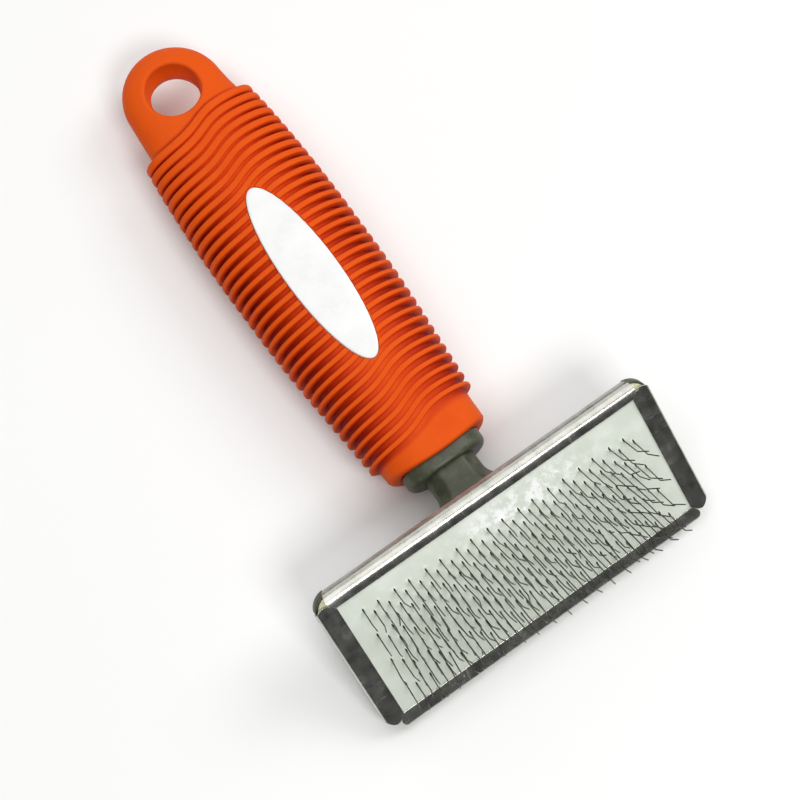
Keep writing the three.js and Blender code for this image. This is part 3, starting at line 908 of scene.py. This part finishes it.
def rail(name, half_opening, reach, width, bend, turn, start_end, end_end):
    """A folded strip with shaped ends, slightly pillowed and uneven as pressed steel is."""
    outer, inner = rail_section(width, bend)
    lip = width - bend[0]
    columns = RAIL_COLUMNS
    developed = [0.0]
    for (a, b), (c, d) in zip(outer, outer[1:]):
        developed.append(developed[-1] + math.hypot(c - a, d - b))
    points, texture = [], []
    for line in (outer, inner):
        for (outwards, up), distance in zip(line, developed):
            first = -half_opening - along(start_end, distance, 1)
            last = half_opening + along(end_end, distance, 1)
            for k in range(columns):
                share = (1 - math.cos(math.pi * k / (columns - 1))) / 2
                x = first + (last - first) * share
                rise = math.sin(math.pi * min(outwards / lip, 1.0)) if up > 0 else 0.0
                grain = Vector((x * 0.09, outwards * 0.2, reach + up * 0.1))
                wave = RAIL_WAVE * noise.noise(grain)
                inwards = (0.03 + 0.6 * wave) * (up < 0)
                height = up + RAIL_SWELL * lip * rise + wave * (up > 0)
                points.append((x, reach + outwards - inwards, height))
                texture.append((x * MM, distance * MM))
    at = np.arange(len(points)).reshape(2, len(outer), columns)

    def quads(*corners):
        return np.stack(corners, axis=-1).reshape(-1, 4).tolist()

    faces = []
    for sheet in at:
        faces += quads(sheet[:-1, :-1], sheet[:-1, 1:], sheet[1:, 1:], sheet[1:, :-1])
    for r in (0, -1):
        faces += quads(at[0, r, :-1], at[1, r, :-1], at[1, r, 1:], at[0, r, 1:])
    for k in (0, -1):
        faces += quads(at[0, :-1, k], at[0, 1:, k], at[1, 1:, k], at[1, :-1, k])
    piece = raw_piece(name, points, faces, HEAD @ Matrix.Rotation(turn, 4, "Z"))
    layer = piece.data.uv_layers.new(name="strip")
    for loop in piece.data.loops:
        layer.data[loop.index].uv = texture[loop.vertex_index]
    tidy(piece, math.radians(40))
    bevel(piece, RAIL_BURR, 2, math.radians(50))
    return piece


def rails():
    steel = rail_material()
    (wide, deep), (side, near) = OPENING, RAIL_WIDTH
    quarter = math.pi / 2
    for place, *shape in (
        ("near", wide, deep, near, NEAR_BEND, 0, NEAR_END, NEAR_END),
        ("left", deep, wide, side, TIGHT_BEND, quarter, SIDE_FAR_END, SIDE_NEAR_END),
        ("far", wide, deep, near, TIGHT_BEND, math.pi, FAR_END, FAR_END),
        ("right", deep, wide, side, TIGHT_BEND, -quarter, SIDE_NEAR_END, SIDE_FAR_END),
    ):
        piece = rail("steel_rail_" + place, *shape)
        finish_piece(piece, steel, "rail_steel", "handle", "rail_" + place)


# -------------------- pins
def row_pins(row):
    """Places of a row's pins in the head frame, at the height of the staples' crowns."""
    count = PIN_COUNT if row % ROW_REPEAT < ROW_REPEAT / 2 else PIN_COUNT - 2
    start = PIN_START + row % ROW_REPEAT * PIN_PITCH / 2
    y = ROW_FIRST - row * ROW_PITCH
    c, s = math.cos(ROW_SKEW), math.sin(ROW_SKEW)
    places = []
    for i in range(count):
        x = start + i * PIN_PITCH + (STAPLE_INSET if i % 2 == 0 else -STAPLE_INSET)
        places.append((x * c - y * s, x * s + y * c))
    return places


def pad_rise(x, y):
    """The pad's crown: pinched under the lips, fullest in the middle."""
    u = max(1 - (x / (OPENING[0] + 1)) ** 4, 0)
    v = max(1 - (y / (OPENING[1] + 1)) ** 2, 0)
    return PAD_EDGE_RISE + PAD_CROWN * u**0.7 * v**0.8


def rounded_path(corners, radii, steps=4):
    """A polyline with its inner corners rounded."""
    path = [Vector(corners[0])]
    for before, corner, after, radius in zip(corners, corners[1:], corners[2:], radii):
        corner = Vector(corner)
        u, v = (Vector(before) - corner).normalized(), (Vector(after) - corner).normalized()
        half_angle = u.angle(v) / 2
        cut = radius / math.tan(half_angle)
        centre = corner + (u + v).normalized() * (radius / math.sin(half_angle))
        first, last = corner + u * cut - centre, corner + v * cut - centre
        for k in range(steps + 1):
            path.append(centre + first.slerp(last, k / steps).normalized() * radius)
    path.append(Vector(corners[-1]))
    return path


def wire(path, radius, sides=8):
    """A round wire along a path: its points and its faces."""
    points = []
    side = Vector((1, 0, 0))
    for k, place in enumerate(path):
        direction = (path[min(k + 1, len(path) - 1)] - path[max(k - 1, 0)]).normalized()
        side = side - direction * side.dot(direction)
        side = side.normalized() if side.length > 1e-4 else direction.orthogonal().normalized()
        other = direction.cross(side)
        points += [place + (side * c + other * s) * radius for c, s in oval((0, 0), (1, 1), sides)]
    return points, loft_faces(len(path), sides)


def in_frame_box(point):
    """Whether a wire's end stays inside the box of the whole object."""
    place = HEAD @ point
    margin = TIP_MARGIN * MM
    return place.y > cad_low[1] + margin and place.z < cad_high[2] - margin


def towards(sideways, lean):
    """The direction of a wire that leans to +X and towards the far side of the head."""
    return Vector((math.sin(sideways), -math.sin(lean), math.cos(lean))).normalized()


def pin_corners(x, y, chance):
    """Foot, knee and tip of one bent pin, a little out of line as used pins are. The pins
    splay towards the head's ends, and the tips at its right are bent over the most."""
    foot = Vector((x, y, CROWN_DEPTH + pad_rise(x, y)))
    lean = LEG_LEAN - LEAN_FAN * y + math.radians(chance.gauss(0, LEG_SCATTER[0]))
    splay = 2 * smooth_step(x, 10, 44) - 5 * smooth_step(-x, 5, 44)
    sideways = math.radians(splay + chance.gauss(0, LEG_SCATTER[1]))
    shorter = NEAR_LEG_SHORTER * smooth_step(y, 4, 14)
    knee = foot + towards(sideways, lean) * (LEG_LENGTH * chance.uniform(*LEG_SHARES) - shorter)
    bent_right = smooth_step(x, 14, 44)
    tip_lean = TIP_LEAN + math.radians(4 * bent_right + chance.gauss(0, TIP_SCATTER[0]))
    splay = 26 * bent_right - 5 * smooth_step(-x, 10, 45)
    tip = towards(math.radians(splay + chance.gauss(0, TIP_SCATTER[1])), tip_lean)
    length = TIP_LENGTH * chance.uniform(*TIP_SHARES)
    while not in_frame_box(knee + tip * length):
        length -= TIP_CUT
    return foot, knee, knee + tip * length


def lay_pins():
    """Foot, knee and tip of every pin, row by row."""
    chance = random.Random(PIN_SEED)
    return [[pin_corners(x, y, chance) for x, y in row_pins(row)] for row in range(ROW_COUNT)]


def pin_rows(pins):
    steel = pin_material()
    for row, laid in enumerate(pins):
        points, faces = [], []
        for (foot_a, knee_a, tip_a), (foot_b, knee_b, tip_b) in zip(laid[::2], laid[1::2]):
            path = rounded_path([tip_a, knee_a, foot_a, foot_b, knee_b, tip_b], WIRE_BENDS)
            wire_points, wire_faces = wire(path, WIRE_RADIUS)
            faces += [tuple(i + len(points) for i in face) for face in wire_faces]
            points += wire_points
        number = f"{row + 1:02d}"
        piece = new_piece("staples_" + number, points, faces, HEAD, math.radians(60))
        finish_piece(piece, steel, "pin_steel", "pins_" + number, "pin_row_" + number)


# -------------------- pad
def leg_places(pins, height):
    """Where the legs pass a height over their crown wires."""
    places = []
    for foot, knee, _ in (pin for laid in pins for pin in laid):
        leg = knee - foot
        point = foot + leg * (height / leg.z)
        places.append((point.x, point.y))
    return places


def pierced_sheet(outline, slots, extra):
    """A flat sheet with slots: its points and triangles. The extra points let it take relief."""
    points, edges = [], []
    for loop in [outline] + slots:
        first = len(points)
        points += loop
        edges += [(first + i, first + (i + 1) % len(loop)) for i in range(len(loop))]
    result = geometry.delaunay_2d_cdt([Vector(p) for p in points + extra], edges, [], 0, 1e-4)
    flat = np.array([tuple(v) for v in result[0]])
    triangles = np.array(result[2])
    centres = flat[triangles].mean(axis=1)
    keep = np.ones(len(triangles), bool)
    for slot in slots:
        centre, size = np.mean(slot, axis=0), np.ptp(slot, axis=0) / 2
        keep &= (((centres - centre) / size) ** 2).sum(axis=1) > 0.97
    return flat, triangles[keep]


def thick_sheet(name, flat, triangles, height, thickness, place):
    """Gives a flat triangulation height and thickness, with walls round it and its slots."""
    used = np.unique(triangles)
    index = np.full(len(flat), -1)
    index[used] = np.arange(len(used))
    triangles = index[triangles]
    flat = flat[used]
    top = np.array([height(x, y) for x, y in flat])
    count = len(flat)
    points = [(x, y, z) for (x, y), z in zip(flat, top)]
    points += [(x, y, z - thickness) for (x, y), z in zip(flat, top)]
    faces = [tuple(t) for t in triangles.tolist()]
    directed = {(t[i], t[(i + 1) % 3]) for t in faces for i in range(3)}
    walls = [(a, b) for a, b in directed if (b, a) not in directed]
    faces += [tuple(i + count for i in reversed(t)) for t in faces]
    faces += [(b, a, a + count, b + count) for a, b in sorted(walls)]
    return new_piece(name, points, faces, place, math.radians(50))


def distances(centres, x, y):
    return np.hypot(centres[:, 0] - x, centres[:, 1] - y)


def relief_points(half, centres, chance):
    """Rings of points round the pins, and an uneven grid between them."""
    extra = []
    for centre in centres.tolist():
        for radius in RELIEF_RINGS:
            extra += oval(centre, (radius, radius), 12)
    across, deep = (int(h / RELIEF_STEP) for h in half)
    for i in range(-across, across + 1):
        for j in range(-deep, deep + 1):
            x = i * RELIEF_STEP + chance.uniform(-RELIEF_JITTER, RELIEF_JITTER)
            y = j * RELIEF_STEP + chance.uniform(-RELIEF_JITTER, RELIEF_JITTER)
            inside = abs(x) < half[0] - RELIEF_EDGE and abs(y) < half[1] - RELIEF_EDGE
            if inside and np.min(distances(centres, x, y)) > RELIEF_CLEAR:
                extra.append((x, y))
    return extra


def face_skin(pins):
    """The pale rubber face: tented round each pin and drawn into faint folds between them."""
    chance = random.Random(SKIN_SEED)
    centres = np.array(leg_places(pins, SKIN_OVER_CROWN))
    tents = np.array([chance.uniform(*SKIN_TENTS) for _ in centres])
    half = head_half(SKIN_INSET)
    outline = rounded_outline(half, SKIN_CORNERS, 6)
    slots = [oval(centre, SKIN_SLOT) for centre in centres.tolist()]
    flat, triangles = pierced_sheet(outline, slots, relief_points(half, centres, chance))

    def height(x, y):
        away = distances(centres, x, y)
        near = float(np.exp(-np.min(away) / 2.5))
        tent = float(np.max(tents * np.exp(-np.maximum(away - 0.3, 0) / 0.42)))
        fold = 1 - abs(noise.noise(Vector((x * 0.32 + 0.25 * y, y * 0.42, 1.7)))) * 2
        ripple = noise.noise(Vector((x * 0.12, y * 0.15, 5.1)))
        return pad_rise(x, y) + tent + near * SKIN_FOLD * max(fold, 0) ** 3 + SKIN_RIPPLE * ripple

    piece = thick_sheet("pad_face", flat, triangles, height, SKIN, HEAD)
    local = HEAD.inverted()
    (x, y), (half_x, half_y) = SCUFF_PLACE, SCUFF_HALF
    scuff, pin_shade = [], []
    for vertex in piece.data.vertices:
        p = local @ vertex.co
        scuff.append(math.exp(-((p.x - x) / half_x) ** 2 - ((p.y - y) / half_y) ** 2))
        # painted shade, strongest next to each pin
        away = float(np.min(distances(centres, p.x, p.y)))
        pin_shade.append(math.exp(-((away / PIN_SHADE_REACH) ** 2)))
    add_values(piece, "scuff", scuff)
    add_values(piece, "pin_shade", pin_shade)
    finish_piece(piece, skin_material(), "face_rubber", "handle", "face_skin")
    return piece, half


def foundation(pins):
    """The cloth that holds the staples; its edge shows at the head's corners."""
    centres = leg_places(pins, CLOTH_TOP - CROWN_DEPTH - CLOTH / 2)
    half = head_half(CLOTH_INSET)
    outline = rounded_outline(half, CLOTH_CORNERS, 8)
    slots = [oval(centre, CLOTH_SLOT) for centre in centres]
    columns = [3.0 * i for i in range(-17, 18)]
    rows = [y for y in (3.0 * j + 22.0 for j in range(-14, 0)) if abs(y) < half[1] - 1]
    flat, triangles = pierced_sheet(outline, slots, [(x, y) for x in columns for y in rows])

    def height(x, y):
        return CLOTH_TOP + pad_rise(x, y)

    piece = thick_sheet("pin_cloth", flat, triangles, height, CLOTH, HEAD)
    finish_piece(piece, cloth_material(), "foundation_cloth", "handle", "pin_foundation")
    return piece, half


def cushion():
    """The foam in the tray's pocket, crowned under the cloth."""
    half = head_half(POCKET_INSET + GAP)
    columns, rows = FOAM_GRID
    floor = POCKET_FLOOR + GAP
    chance = random.Random(FOAM_SEED)
    top, bottom = [], []
    for j in range(rows + 1):
        for i in range(columns + 1):
            u, v = 2 * i / columns - 1, 2 * j / rows - 1
            pinch = FOAM_PINCH * smooth_step(max(abs(u), abs(v)), 0.9, 1.0)
            x, y = u * half[0], v * half[1]
            height = CROWN_DEPTH - FOAM_UNDER_CROWN + pad_rise(x, y) - pinch
            top.append((x, y, height + chance.uniform(-FOAM_GRAIN, FOAM_GRAIN)))
            bottom.append((x, y, floor))
    count = len(top)
    faces = []
    for j in range(rows):
        for i in range(columns):
            a = j * (columns + 1) + i
            quad = (a, a + 1, a + columns + 2, a + columns + 1)
            faces.append(quad)
            faces.append(tuple(k + count for k in reversed(quad)))
    border = list(range(columns)) + [columns + j * (columns + 1) for j in range(rows)]
    border += [count - 1 - i for i in range(columns)]
    border += [(rows - j) * (columns + 1) for j in range(rows)]
    faces += [(b, a, a + count, b + count) for a, b in zip(border, border[1:] + border[:1])]
    piece = new_piece("foam_pad", top + bottom, faces, HEAD, math.radians(50))
    finish_piece(piece, foam_material(), "cushion_foam", "handle", "foam_cushion")
    return piece


def pad(pins):
    skin, skin_half = face_skin(pins)
    cloth, cloth_half = foundation(pins)
    foam = cushion()
    tuple(2 * h * MM for h in skin_half)
    tuple(2 * h * MM for h in cloth_half)


# -------------------- stage, light and camera
def stage():
    h = FLOOR_HALF
    corners = [(-h, -h, 0), (h, -h, 0), (h, h, 0), (-h, h, 0)]
    floor = raw_piece("floor", corners, [(0, 1, 2, 3)], Matrix())
    floor.data.materials.append(floor_material())


def softbox(name, place, target, size, power):
    light = bpy.data.lights.new(name, "AREA")
    light.shape = "RECTANGLE"
    light.size, light.size_y = size
    light.energy = power
    lamp = bpy.data.objects.new(name, light)
    lamp.location = place
    lamp.rotation_mode = "QUATERNION"
    lamp.rotation_quaternion = (Vector(target) - Vector(place)).to_track_quat("-Z", "Y")
    bpy.context.scene.collection.objects.link(lamp)


def light():
    scene = bpy.context.scene
    scene.view_settings.view_transform = "Standard"
    world = bpy.data.worlds.new("studio")
    scene.world = world
    world.use_nodes = True
    background = next(n for n in world.node_tree.nodes if n.type == "BACKGROUND")
    background.inputs["Color"].default_value = WORLD_COLOUR
    background.inputs["Strength"].default_value = WORLD_STRENGTH
    for settings in SOFTBOXES:
        softbox(*settings)


def camera():
    data = bpy.data.cameras.new("camera")
    data.sensor_width = SENSOR_WIDTH
    data.lens = CAMERA_LENS
    data.clip_start = CLIP_START
    obj = bpy.data.objects.new("camera", data)
    place, target = Vector(CAMERA_PLACE) * MM, Vector(CAMERA_TARGET) * MM
    look = (target - place).to_track_quat("-Z", "Y").to_matrix().to_4x4()
    obj.matrix_world = Matrix.Translation(place) @ look @ Matrix.Rotation(CAMERA_ROLL, 4, "Z")
    bpy.context.scene.collection.objects.link(obj)
    bpy.context.scene.camera = obj


camera()
grip_sleeve()
badge()
handle_core()
rails()
laid_pins = lay_pins()
pin_rows(laid_pins)
pad(laid_pins)
stage()
light()
